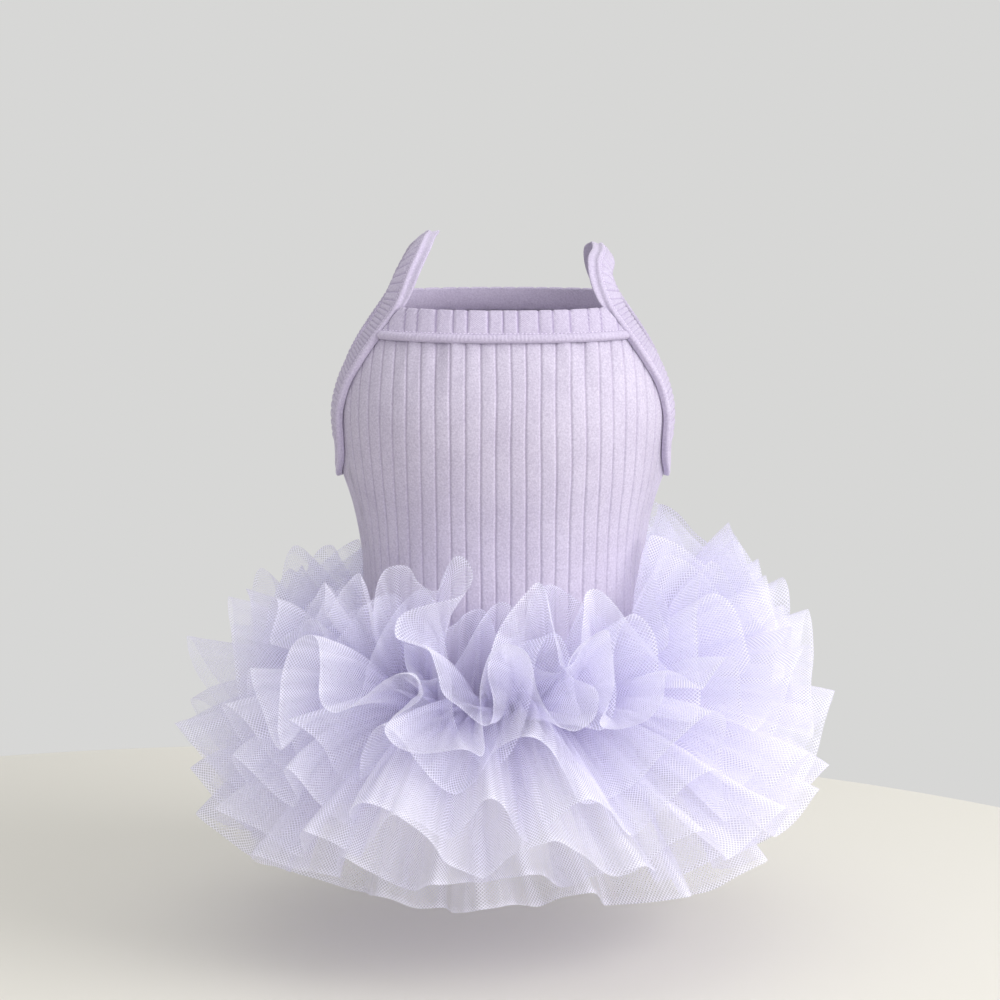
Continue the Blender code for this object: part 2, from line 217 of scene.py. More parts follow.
# Section of a bound edge, once round: way from the free edge to the seam as a share of the width,
# height over the panel as a share of BAND_WALL, share of the lining beyond the seam, and how much
# of the rib relief and of the roll's twist shows there
BINDING_SECTION = table(
    "across rise lining rib roll",
    (0.50, 0.00, 0.0, 0.0, 0.0),
    (0.03, 0.00, 0.0, 0.0, 0.0),
    (0.00, 0.16, 0.0, 0.3, 0.0),
    (-0.01, 0.44, 0.0, 0.6, 0.0),
    (0.00, 0.70, 0.0, 0.8, 0.0),
    (0.03, 0.84, 0.0, 1.0, 0.0),
    (0.10, 0.90, 0.0, 1.0, 0.0),
    (0.25, 0.92, 0.0, 1.0, 0.0),
    (0.40, 0.92, 0.0, 1.0, 0.0),
    (0.55, 0.91, 0.0, 1.0, 0.0),
    (0.68, 0.88, 0.0, 0.8, 0.0),
    (0.755, 0.80, 0.0, 0.3, 0.0),
    (0.785, 0.84, 0.0, 0.0, 0.4),
    (0.82, 1.04, 0.0, 0.0, 1.0),
    (0.87, 1.17, 0.0, 0.0, 1.0),
    (0.92, 1.17, 0.0, 0.0, 1.0),
    (0.97, 1.02, 0.0, 0.0, 1.0),
    (1.00, 0.78, 0.0, 0.0, 0.5),
    (1.00, 0.56, 0.1, 0.0, 0.0),
    (1.00, 0.46, 0.5, 0.0, 0.0),
    (1.00, 0.38, 0.92, 0.0, 0.0),
    (1.00, 0.20, 1.0, 0.0, 0.0),
    (1.00, 0.02, 0.9, 0.0, 0.0),
)
STITCH_ROW_SHARE = 0.765

# Plies of tulle, two to a tier from the top: place in the stack on the seam, rise in degrees at the
# seam and at the edge, length as a share of TIER_LENGTH, how much longer it is at the right and
# shorter at the left, how much shorter it is where it faces -Y, how many degrees it leans up to the
# right, droops at both sides and dips where it faces -Y, count of folds, length of the free edge for
# each length of straight way, how much of its folds is lost where it faces -Y, how round the folds are,
# and the seed of its irregularities
PLIES = table(
    "tier place inner outer length skew front lean droop dip folds full calm round seed",
    ("crest", 2.2, 84, 62, 0.70, 0.20, 0.26, 0, 12, 0, 10, 1.85, 0.2, 0.60, 3),
    ("crest", 1.7, 70, 48, 0.73, 0.18, 0.30, 2, 14, 0, 12, 2.05, 0.2, 0.65, 8),
    ("upper", 1.2, 60, 38, 0.72, 0.16, 0.0, 3, 16, 0, 14, 2.4, 0.0, 0.75, 5),
    ("upper", 0.8, 42, 18, 0.71, 0.15, 0.30, 4, 10, 0, 14, 2.4, 0.0, 0.70, 12),
    ("middle", 0.2, 30, 6, 0.78, 0.09, 0.0, 4, 10, 0, 15, 2.4, 0.0, 0.75, 7),
    ("middle", -0.2, 10, -8, 0.82, 0.10, 0.10, 6, 10, 30, 15, 2.2, 0.4, 0.55, 21),
    ("lower", -0.8, -8, -26, 0.91, 0.04, 0.02, 5, 6, 20, 17, 2.0, 0.4, 0.35, 17),
    ("lower", -1.2, -26, -42, 0.98, 0.02, 0.0, 4, 3, 5, 17, 1.9, 0.3, 0.28, 26),
    ("hem", -1.8, -42, -56, 1.00, 0.02, 0.0, 3, 0, 0, 17, 1.8, 0.2, 0.24, 33),
    ("hem", -2.2, -56, -68, 1.02, 0.01, 0.0, 2, 0, 0, 17, 1.75, 0.2, 0.24, 38),
)

# Free edge of the two large ruffles where they face -Y, by their index in PLIES: the turn, the height
# over the skirt seam and the distance from the body's middle line, both as shares of TIER_LENGTH
TRACED_EDGES = {
    2: [
        (-62, 0.42, 1.22), (-54, 0.60, 1.22), (-49, 0.70, 1.22), (-45, 0.53, 1.30), (-41, 0.68, 1.25),
        (-36.8, 0.79, 1.22), (-33.5, 0.73, 1.27), (-29.5, 0.60, 1.33), (-29.3, 0.82, 1.23),
        (-24, 0.85, 1.20), (-22, 0.76, 1.16), (-18, 0.72, 1.13), (-15, 0.77, 1.12), (-12.5, 0.89, 1.12),
        (-9, 0.90, 1.16), (-7, 0.83, 1.22), (-9, 0.73, 1.33), (-15, 0.70, 1.42), (-20.5, 0.63, 1.48),
        (-20.8, 0.54, 1.52), (-17.2, 0.53, 1.54), (-14.5, 0.48, 1.54), (-13.2, 0.35, 1.54),
        (-11.9, 0.25, 1.55), (-7.9, 0.19, 1.57), (-2.8, 0.11, 1.57), (-1.5, 0.22, 1.51),
        (-2.5, 0.40, 1.42), (-1, 0.57, 1.33), (4.2, 0.72, 1.28), (9, 0.78, 1.25), (10.7, 0.57, 1.30),
        (11.8, 0.37, 1.36), (15.5, 0.43, 1.36), (18, 0.59, 1.30), (19.5, 0.73, 1.25), (24, 0.72, 1.25),
        (30.7, 0.51, 1.33), (37, 0.32, 1.39), (42, 0.28, 1.42), (49, 0.44, 1.36),
    ],
    4: [
        (-56, 0.25, 1.57), (-48, 0.02, 1.65), (-41, -0.07, 1.70), (-43.3, 0.05, 1.68), (-43, 0.27, 1.65),
        (-42, 0.44, 1.62), (-38.1, 0.52, 1.60), (-35.5, 0.50, 1.60), (-34.8, 0.38, 1.62),
        (-34.9, 0.24, 1.65), (-33.1, 0.17, 1.67), (-30, 0.15, 1.68), (-27.4, 0.20, 1.67),
        (-23.7, 0.28, 1.65), (-19.4, 0.36, 1.64), (-15.9, 0.38, 1.64), (-13.9, 0.32, 1.65),
        (-14.5, 0.26, 1.67), (-19.5, 0.14, 1.70), (-20.4, 0.09, 1.71), (-18.3, 0.02, 1.71),
        (-14.1, 0.00, 1.71), (-6.7, 0.02, 1.71), (-3.8, -0.02, 1.70), (-3.6, 0.11, 1.60),
        (-4.2, 0.28, 1.49), (-2.8, 0.44, 1.51), (-0.5, 0.53, 1.57), (1.7, 0.53, 1.60), (4.8, 0.47, 1.61),
        (7.1, 0.29, 1.62), (9.5, 0.15, 1.64), (12.6, 0.08, 1.65), (16.1, 0.13, 1.65), (17.3, 0.22, 1.62),
        (16.5, 0.30, 1.60), (13, 0.36, 1.57), (12.5, 0.43, 1.55), (14.8, 0.52, 1.55), (19.9, 0.58, 1.55),
        (20.2, 0.47, 1.57), (19.5, 0.25, 1.60), (17.5, 0.11, 1.62), (20, 0.08, 1.65), (24.9, 0.12, 1.65),
        (29.3, 0.21, 1.62), (31.5, 0.35, 1.57), (38, 0.25, 1.62),
    ],
}

# Camera and floor, from the photograph's framing of 1000 pixels
CAMERA_PLACE = (-0.0011, -1.200, 0.086)
CAMERA_PITCH = math.radians(8.7)
FOCAL_PIXELS = 3238.0
FRAME_PIXELS = 1000.0
SENSOR_WIDTH = 36.0
FLOOR_DROP = 0.262
FLOOR_RADIUS = 0.45
FLOOR_CENTRE = (-0.09, -0.145)

# Light, and how often it may pass through net and bounce
LIGHTS = [
    {"name": "window_right", "place": (1.1, -0.6, 0.45), "aim": (0.0, 0.0, -0.14),
     "size": 0.9, "power": 15.5, "colour": (1.0, 0.99, 0.98)},
    {"name": "front_low", "place": (0.4, -1.5, 0.1), "aim": (0.0, 0.0, -0.16),
     "size": 1.3, "power": 4.8, "colour": (0.98, 0.98, 1.0)},
    {"name": "overhead", "place": (0.0, 0.1, 1.1), "aim": (0.0, 0.0, -0.14),
     "size": 1.4, "power": 3.5, "colour": (1.0, 1.0, 1.0)},
]
WORLD_COLOUR = (0.80, 0.80, 0.79, 1.0)
WORLD_STRENGTH = 0.85
NET_PASSES = 96
MOST_BOUNCES = 8
DIFFUSE_BOUNCES = 5

# Colours, some with painted shade, then the knit's heather, painted groove shade and stitches and the net's
# threads
FLOOR_COLOUR = (0.71, 0.69, 0.63, 1.0)
# The groove colours of the knit and the binding are painted shade, darkening each rib's groove where shade
# falls
KNIT_COLOURS = {"light": (0.63, 0.58, 0.71, 1), "shade": (0.475, 0.425, 0.555, 1),
                "groove": (0.35, 0.285, 0.43, 1), "groove_shade_strength": 0.37}
BINDING_COLOURS = {"light": (0.585, 0.53, 0.675, 1), "shade": (0.45, 0.395, 0.54, 1),
                   "groove": (0.30, 0.23, 0.41, 1), "groove_shade_strength": 0.62}
THREAD_COLOUR = (0.80, 0.72, 0.90, 1)
# The tulle's deep colour is painted shade near the seam, in the gathers where shade falls; it fades to the
# light colour at the free edge
TULLE_COLOURS = {"light": (0.875, 0.865, 0.985, 1), "painted_seam_shade": (0.85, 0.815, 0.985, 1)}
HEATHER_SCALE = 1500.0
HEATHER_CONTRAST = 2.6
CLOUD_SCALE = 60.0
CLOUD_CONTRAST = 0.8
GROOVE_SHADE_SHARPNESS = 4.0
COURSE_PITCH = 0.00055
WALES_A_RIB = 8.0
NET_PITCH = 0.0013
THREAD_SHARPNESS = 3.0
NET_COVER = 0.46
NET_GLOW = 0.35

MERGE_DISTANCE = 0.000001


# Shapes shared by the pieces

def read_table(rows, key, value, at):
    """Value of a column at a place between two rows, on a smooth curve through the rows."""
    keys = [row[key] for row in rows]
    values = [row[value] for row in rows]
    at = min(max(at, keys[0]), keys[-1])
    last = len(keys) - 2
    index = next((i for i in range(last) if at < keys[i + 1]), last)
    slopes = []
    for i in (index, index + 1):
        before = max(i - 1, 0)
        after = min(i + 1, len(keys) - 1)
        slopes.append((values[after] - values[before]) / (keys[after] - keys[before]))
    span = keys[index + 1] - keys[index]
    t = (at - keys[index]) / span
    start = (2 * t ** 3 - 3 * t ** 2 + 1) * values[index] + (t ** 3 - 2 * t ** 2 + t) * span * slopes[0]
    end = (3 * t ** 2 - 2 * t ** 3) * values[index + 1] + (t ** 3 - t ** 2) * span * slopes[1]
    return start + end


def interpolate(pairs, at):
    """Straight interpolation in a list of (key, value) pairs with rising keys, held level at its ends."""
    if at <= pairs[0][0]:
        return pairs[0][1]
    for (key, value), (next_key, next_value) in zip(pairs, pairs[1:]):
        if at <= next_key:
            return value + (next_value - value) * (at - key) / (next_key - key)
    return pairs[-1][1]


def rising(pairs):
    """The pairs whose key is above every earlier key."""
    kept = []
    for pair in pairs:
        if not kept or pair[0] > kept[-1][0]:
            kept.append(pair)
    return kept


def ease(start, end, at):
    """Smooth step from 0 at start to 1 at end, whichever of them is larger."""
    t = min(max((at - start) / (end - start), 0.0), 1.0)
    return t * t * (3.0 - 2.0 * t)


SIZE_STEPS = 1200
SIZE_TABLE = [
    (read_table(BODY_SECTIONS, "drop", "width", step / SIZE_STEPS) * CHEST_WIDTH / 2,
     read_table(BODY_SECTIONS, "drop", "depth", step / SIZE_STEPS) * CHEST_DEPTH / 2)
    for step in range(SIZE_STEPS + 1)
]


def half_sizes(drop):
    """Half the body's width and depth at a drop."""
    at = min(max(drop / BODICE_DROP, 0.0), 1.0) * SIZE_STEPS
    index = min(int(at), SIZE_STEPS - 1)
    share = at - index
    (width, depth), (next_width, next_depth) = SIZE_TABLE[index], SIZE_TABLE[index + 1]
    return width + (next_width - width) * share, depth + (next_depth - depth) * share


def skin_point(turn, drop):
    """Point of the body's skin, whose outline is a slightly squared ellipse at each level."""
    half_width, half_depth = half_sizes(drop)
    side = math.sin(math.radians(turn))
    front = math.cos(math.radians(turn))
    size = (abs(side) ** BODY_SQUARENESS + abs(front) ** BODY_SQUARENESS) ** (-1 / BODY_SQUARENESS)
    return Vector((half_width * size * side, -half_depth * size * front, -drop))


def skin_normal(turn, drop):
    """Way straight out of the body's skin."""
    round_body = skin_point(turn + NORMAL_TURN_STEP, drop) - skin_point(turn - NORMAL_TURN_STEP, drop)
    above = max(drop - NORMAL_DROP_STEP, 0.0)
    down_body = skin_point(turn, drop + NORMAL_DROP_STEP) - skin_point(turn, above)
    return down_body.cross(round_body).normalized()


def turn_and_drop(point):
    """The turn and drop of a point on or near the skin."""
    drop = max(-point.z, 0.0)
    half_width, half_depth = half_sizes(drop)
    turn = math.degrees(math.atan2(point.x / half_width, -point.y / half_depth))
    return turn, drop


def add_grid(bm, columns, rows, place, chart):
    """Adds a grid whose vertices go where place(column, row) says, charted by chart(column, row)."""
    uv = bm.loops.layers.uv.verify()
    made = bmesh.ops.create_grid(bm, x_segments=columns, y_segments=rows, size=0.5)
    spots = {}
    for vert in made["verts"]:
        spots[vert] = round((vert.co.x + 0.5) * columns), round((vert.co.y + 0.5) * rows)
    for vert, spot in spots.items():
        vert.co = place(*spot)
        for loop in vert.link_loops:
            loop[uv].uv = chart(*spot)
    return {spot: vert for vert, spot in spots.items()}


def finish_piece(name, bm, slot, material, *nodes):
    """Turns a bmesh into a smooth shaded piece that rides on the dress."""
    mesh = bpy.data.meshes.new(name)
    bm.to_mesh(mesh)
    bm.free()
    mesh.shade_smooth()
    mesh.materials.append(material)
    piece = bpy.data.objects.new(name, mesh)
    bpy.context.collection.objects.link(piece)
    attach(piece, "root")
    if nodes:
        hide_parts(*nodes)
    return piece


# Shader recipes

class Wire:
    """A shader socket that can stand in a Python expression."""

    def __init__(self, recipe, socket):
        self.recipe = recipe
        self.socket = socket

    def maths(self, operation, *others):
        return self.recipe.add("ShaderNodeMath", {"operation": operation}, dict(enumerate([self, *others])))

    def __add__(self, other):
        return self.maths("ADD", other)

    def __sub__(self, other):
        return self.maths("SUBTRACT", other)

    def __rsub__(self, other):
        return self.recipe.add("ShaderNodeMath", {"operation": "SUBTRACT"}, {0: other, 1: self})

    def __mul__(self, other):
        return self.maths("MULTIPLY", other)

    __radd__ = __add__
    __rmul__ = __mul__


class Recipe:
    """A material under construction."""

    def __init__(self, name):
        self.material = bpy.data.materials.new(name)
        self.material.use_nodes = True
        self.tree = self.material.node_tree
        self.shader = self.tree.nodes["Principled BSDF"]
        self.output = self.tree.nodes["Material Output"]

    def add(self, kind, settings=None, values=None, output=0):
        """Adds a node: its settings first, then the values or links of its sockets."""
        node = self.tree.nodes.new(kind)
        for name, value in (settings or {}).items():
            setattr(node, name, value)
        for name, value in (values or {}).items():
            self.plug(node.inputs[name], value)
        return Wire(self, node.outputs[output])

    def plug(self, socket, value):
        if isinstance(value, Wire):
            self.tree.links.new(value.socket, socket)
        else:
            socket.default_value = value

    def set(self, **values):
        """Sets or links the shader's own sockets, named with underscores."""
        for name, value in values.items():
            self.plug(self.shader.inputs[name.replace("_", " ")], value)

    def blend(self, factor, first, second):
        """Colour between two colours."""
        settings = {"data_type": "RGBA"}
        return self.add("ShaderNodeMix", settings, {0: factor, 6: first, 7: second}, output=2)

    def bump(self, height, strength, distance):
        values = {"Height": height, "Strength": strength, "Distance": distance}
        return self.add("ShaderNodeBump", None, values)

    def grain(self, coordinates, scale, detail):
        values = {"Vector": coordinates, "Scale": scale, "Detail": detail, "Roughness": 0.6}
        return self.add("ShaderNodeTexNoise", None, values)

    def object_place(self):
        return self.add("ShaderNodeTexCoord", None, None, output=3)

    def chart(self):
        """The two coordinates of the piece's own UV map."""
        mapped = self.add("ShaderNodeTexCoord", None, None, output=2)
        across = self.add("ShaderNodeSeparateXYZ", None, {0: mapped}, output=0)
        along = self.add("ShaderNodeSeparateXYZ", None, {0: mapped}, output=1)
        return across, along

    def attribute(self, name):
        return self.add("ShaderNodeAttribute", {"attribute_name": name}, None, output=2)


def knit_material(name, light, shade, groove, groove_shade_strength):
    """Heathered rib knit with painted shade in its rib grooves. The chart's first coordinate counts ribs,
    the second is metres along them.
    """
    recipe = Recipe(name)
    across, along = recipe.chart()
    place = recipe.object_place()
    heather = recipe.grain(place, HEATHER_SCALE, 2.0)
    cloud = recipe.grain(place, CLOUD_SCALE, 2.0)
    speckle = (heather - 0.5) * HEATHER_CONTRAST + (cloud - 0.5) * CLOUD_CONTRAST + 0.5
    colour = recipe.blend(speckle, shade, light)
    # Painted shade: the colour darkens towards the groove colour in each rib's groove, where shade falls
    to_groove = (across * math.pi).maths("SINE").maths("ABSOLUTE")
    groove_shade_mask = 1.0 - (to_groove * GROOVE_SHADE_SHARPNESS).maths("MINIMUM", 1.0)
    colour = recipe.blend(groove_shade_mask * groove_shade_strength, colour, groove)
    courses = (along * (2 * math.pi / COURSE_PITCH)).maths("SINE")
    wales = (across * (2 * math.pi * WALES_A_RIB)).maths("SINE")
    stitch = (courses * wales) * 0.5 + heather
    recipe.set(Base_Color=colour, Roughness=0.88, Normal=recipe.bump(stitch, 0.5, 0.00018))
    recipe.set(Sheen_Weight=0.35, Sheen_Roughness=0.45, Sheen_Tint=(0.96, 0.93, 1.0, 1.0))
    recipe.set(Specular_IOR_Level=0.25)
    return recipe.material


def thread_material(name, colour):
    """Twisted sewing thread."""
    recipe = Recipe(name)
    twist = recipe.grain(recipe.object_place(), 4000.0, 1.0)
    recipe.set(Base_Color=colour, Roughness=0.6, Normal=recipe.bump(twist, 0.4, 0.00005))
    return recipe.material


def tulle_material(name, light, painted_seam_shade):
    """Sheer net: diagonal threads with open holes, with painted shade near the seam. The chart is in metres
    along the cloth.
    """
    recipe = Recipe(name)
    across, along = recipe.chart()
    rise = (across + along) * (math.pi / NET_PITCH)
    fall = (across - along) * (math.pi / NET_PITCH)
    rising_threads = 1.0 - rise.maths("SINE").maths("ABSOLUTE")
    falling_threads = 1.0 - fall.maths("SINE").maths("ABSOLUTE")
    threads = rising_threads.maths("MAXIMUM", falling_threads)
    net = ((threads - 0.5) * THREAD_SHARPNESS).maths("MAXIMUM", 0.0).maths("MINIMUM", 1.0)
    # Painted shade: the colour is darker and more saturated near the seam and fades to the light colour
    # towards the free edge
    colour = recipe.blend(recipe.attribute("seam_shade_fade"), painted_seam_shade, light)
    alpha = recipe.attribute("cover") + net * NET_COVER
    recipe.set(Base_Color=colour, Roughness=0.75, Specular_IOR_Level=0.2)
    shader = Wire(recipe, recipe.shader.outputs[0])
    glow = recipe.add("ShaderNodeBsdfTranslucent", None, {"Color": colour})
    cloth = recipe.add("ShaderNodeMixShader", None, {0: NET_GLOW, 1: shader, 2: glow})
    holes = recipe.add("ShaderNodeBsdfTransparent")
    alpha = alpha.maths("MAXIMUM", 0.0).maths("MINIMUM", 1.0)
    net_cloth = recipe.add("ShaderNodeMixShader", None, {0: alpha, 1: holes, 2: cloth})
    recipe.tree.links.new(net_cloth.socket, recipe.output.inputs["Surface"])
    return recipe.material


# Bodice

def strap_controls(side):
    """Control points of a strap's seam edge, round a closed loop.

    Each is a point, the normal there, the width, the lining and the rib pitch.
    """
    rows = []
    for row in STRAP_PATH:
        drop = row["drop"] * ARMHOLE_DROP
        above_neck_band = 1.0 - min(drop / NECK_DROP, 1.0)
        if side > 0:
            drop += RIGHT_STRAP_LOWER * above_neck_band
        rows.append((row["turn"], drop, row["width"], row["lining"], row["pitch"]))
    belly_rows = [(180.0 - row[0], *row[1:]) for row in reversed(rows[1:-1])]
    return [
        (skin_point(turn * side, drop), skin_normal(turn * side, drop), width, lining, pitch)
        for turn, drop, width, lining, pitch in rows + belly_rows
    ]


def curve_weights(t):
    """Weights of four neighbouring control points on a smooth curve through the middle two."""
    return (
        (2 * t * t - t - t ** 3) / 2,
        (2 - 5 * t * t + 3 * t ** 3) / 2,
        (t + 4 * t * t - 3 * t ** 3) / 2,
        (t ** 3 - t * t) / 2,
    )


def strap_frames(side, count):
    """Evenly spaced stations round a strap, with the count of ribs and the length up to each."""
    controls = strap_controls(side)
    total = len(controls)
    fine = []
    for index in range(total):
        four = [controls[(index + shift) % total] for shift in (-1, 0, 1, 2)]
        for step in range(STEPS_A_CONTROL):
            weights = curve_weights(step / STEPS_A_CONTROL)
            point = sum((w * c[0] for w, c in zip(weights, four)), Vector())
            normal = sum((w * c[1] for w, c in zip(weights, four)), Vector()).normalized()
            width, lining, pitch = (sum(w * c[axis] for w, c in zip(weights, four)) for axis in (2, 3, 4))
            fine.append((point, normal, width, min(max(lining, 0.0), 1.0), pitch))
    lengths = [0.0]
    ribs = [0.0]
    for here, after in zip(fine, fine[1:] + fine[:1]):
        step = (after[0] - here[0]).length
        lengths.append(lengths[-1] + step)
        ribs.append(ribs[-1] + step / here[4])
    whole_ribs = round(ribs[-1]) / ribs[-1]
    frames = []
    index = 0
    for station in range(count):
        target = lengths[-1] * station / count
        while lengths[index + 1] <= target:
            index += 1
        share = (target - lengths[index]) / (lengths[index + 1] - lengths[index])
        point, normal, width, lining, _ = fine[index]
        after, after_normal, after_width, after_lining, _ = fine[(index + 1) % len(fine)]
        along = fine[(index + 2) % len(fine)][0] - fine[index - 1][0]
        outward = normal.lerp(after_normal, share).normalized()
        frames.append({
            "seam": point.lerp(after, share),
            "outward": outward,
            "to_free_edge": outward.cross(along).normalized() * side,
            "width": STRAP_WIDTH * (width + (after_width - width) * share),
            "lining": lining + (after_lining - lining) * share,
            "ribs": (ribs[index] + (ribs[index + 1] - ribs[index]) * share) * whole_ribs,
            "along": target,
        })
    return frames


def strap_line(side, belly, past_seam, past_lining):
    """Line beside a strap's seam edge on one side of the body, as (turn, drop) pairs from the top."""
    pairs = []
    for station in strap_frames(side, STRAP_LINE_STATIONS):
        away = past_seam - past_lining * station["lining"] * STRAP_LINING
        turn, drop = turn_and_drop(station["seam"] + station["to_free_edge"] * away)
        turn = 180.0 - abs(turn) if belly else abs(turn)
        if turn <= 90.0:
            pairs.append((turn, drop))
    return sorted(pairs, key=lambda pair: pair[1])


def groove_depth(ribs, half_width):
    """How deep a rib's groove is, from 0 to 1, where ribs counts whole ribs and half_width is in ribs."""
    to_groove = abs(ribs - round(ribs))
    return 1.0 - ease(0.0, half_width, to_groove)


def build_panel(name, node, belly, material):
    """One half of the bodice from side seam to side seam, with a wall and ribs down its outer face."""
    lines = {}
    for side in (-1, 1):
        line = strap_line(side, belly, EDGE_UNDERLAP, 0.0)
        below_band = [pair for pair in line if pair[1] > NECK_DROP + NECK_BAND_HEIGHT / 2]
        lines[side] = rising(below_band)
    under_band = NECK_DROP + NECK_BAND_HEIGHT - EDGE_UNDERLAP
    chest_drop = CHEST_LEVEL * BODICE_DROP
    outline = [skin_point(turn, chest_drop) for turn in range(181)]
    half_girth = sum((after - here).length for here, after in zip(outline, outline[1:]))
    ribs = round(half_girth / RIB_PITCH)
    groove = RIB_GROOVE / (2 * RIB_PITCH)
    last_turn = 90.0 - math.degrees(SIDE_SEAM_GAP / CHEST_DEPTH)

    def rib_at(column):
        whole, part = divmod(column, len(RIB_STOPS))
        return whole + RIB_STOPS[part]

    def place_at(outer):
        def place(column, row):
            rib = rib_at(column)
            from_middle = 2.0 * rib / ribs - 1.0
            turn = last_turn * from_middle
            for _ in range(SPREAD_TRIES):
                top = max(under_band, interpolate(lines[1 if turn > 0 else -1], abs(turn)))
                drop = BODICE_DROP + (top - BODICE_DROP) * row / PANEL_ROWS
                spread = max(FRONT_RIB_SPREAD * CHEST_WIDTH / 2 / half_sizes(drop)[0] - 1.0, 0.0)
                spread = min(spread, MOST_RIB_SPREAD)
                turn = last_turn * from_middle * (1.0 + spread * (1.0 - from_middle ** 2))
            below_band = drop - under_band
            gather = math.exp(-below_band / GATHER_REACH) * ease(*GATHER_TURNS, abs(turn))
            spot = (turn * SWELLS_A_DEGREE, drop * SWELLS_A_METRE, 3.0 if belly else 0.0)
            swell = noise.noise(Vector(spot))
            on_body = turn + KNIT_WANDER * swell * ease(0.0, WANDER_START, below_band)
            on_body = math.copysign(180.0, turn) - on_body if belly else on_body
            proud = 0.0
            if outer:
                in_rib = (rib - math.floor(rib) - 0.5) * 2.0
                proud = KNIT_WALL - RIB_RELIEF * groove_depth(rib, groove) - RIB_CROWN * in_rib * in_rib
            proud += GATHER_RELIEF * gather * noise.noise(Vector((turn * GATHERS_A_DEGREE, 7.0, 0.0)))
            proud += KNIT_SWELL * swell * ease(0.0, SWELL_START, below_band)
            return skin_point(on_body, drop) + skin_normal(on_body, drop) * proud
        return place

    def chart(column, row):
        return rib_at(column), BODICE_DROP * row / PANEL_ROWS

    bm = bmesh.new()
    columns = ribs * len(RIB_STOPS)
    add_grid(bm, columns, PANEL_ROWS, place_at(True), chart)
    add_grid(bm, columns, PANEL_ROWS, place_at(False), chart)
    bmesh.ops.bridge_loops(bm, edges=[edge for edge in bm.edges if edge.is_boundary])
    bmesh.ops.recalc_face_normals(bm, faces=bm.faces)
    finish_piece(name, bm, "rib_knit", material, node)


def build_neck_band(name, node, belly, material):
    """Ribbed band across the neck edge with a rolled seam edge. Returns the ends of its stitches."""
    lines = {side: strap_line(side, belly, -CLEARANCE, 1.0) for side in (-1, 1)}
    ends = {side: rising([(drop, turn) for turn, drop in line]) for side, line in lines.items()}
    section = len(BINDING_SECTION)

    def on_band(share, across, proud):
        drop = NECK_DROP + NECK_BAND_HEIGHT * across
        first, last = -interpolate(ends[-1], drop), interpolate(ends[1], drop)
        turn = first + (last - first) * share
        turn = 180.0 - turn if belly else turn
        return skin_point(turn, drop) + skin_normal(turn, drop) * (BINDING_BASE + proud)

    def width_at(across):
        return (on_band(1.0, across, 0.0) - on_band(0.0, across, 0.0)).length

    width = width_at(STITCH_ROW_SHARE)
    columns = round(width / NECK_RIB_PITCH) * BAND_COLUMNS_A_RIB
    widths = [width_at(corner["across"]) for corner in BINDING_SECTION]

    def rib_at(column, row):
        """Ribs from the band's middle, so that they stand upright where the band widens."""
        way = (column / columns - 0.5) * widths[row % section] / NECK_RIB_PITCH
        return way + NECK_RIB_JITTER * math.sin(way * JITTER_A_RIB)

    def place(column, row):
        corner = BINDING_SECTION[row % section]
        rib = rib_at(column, row)
        share = column / columns
        proud = BAND_WALL * corner["rise"]
        proud -= NECK_RIB_RELIEF * corner["rib"] * groove_depth(rib, NECK_GROOVE)
        proud += ROLL_TWIST * corner["roll"] * math.sin(share * width / STITCH_PITCH * 2 * math.pi)
        across = corner["across"]
        if across < SCALLOP_END:
            across += NECK_SCALLOP * corner["rib"] * groove_depth(rib, SCALLOP_GROOVE)
        return on_band(share, across, proud)

    def chart(column, row):
        ribbed = BINDING_SECTION[row % section]["rib"] > 0.0
        return rib_at(column, row) if ribbed else 0.5, row * SECTION_STEP

    bm = bmesh.new()
    add_grid(bm, columns, section, place, chart)
    bmesh.ops.remove_doubles(bm, verts=bm.verts, dist=MERGE_DISTANCE)
    bmesh.ops.holes_fill(bm, edges=[edge for edge in bm.edges if edge.is_boundary], sides=section)
    bmesh.ops.recalc_face_normals(bm, faces=bm.faces)
    finish_piece(name, bm, "knit_binding", material, node)
    stitches = []
    count = int(width / STITCH_PITCH)
    half_stitch = 0.5 * STITCH_LENGTH / width
    for index in range(count):
        share = (index + 0.5) / count
        stitch = (share - half_stitch, share + half_stitch)
        stitches.append(tuple(on_band(end, STITCH_ROW_SHARE, STITCH_HEIGHT) for end in stitch))
    return stitches


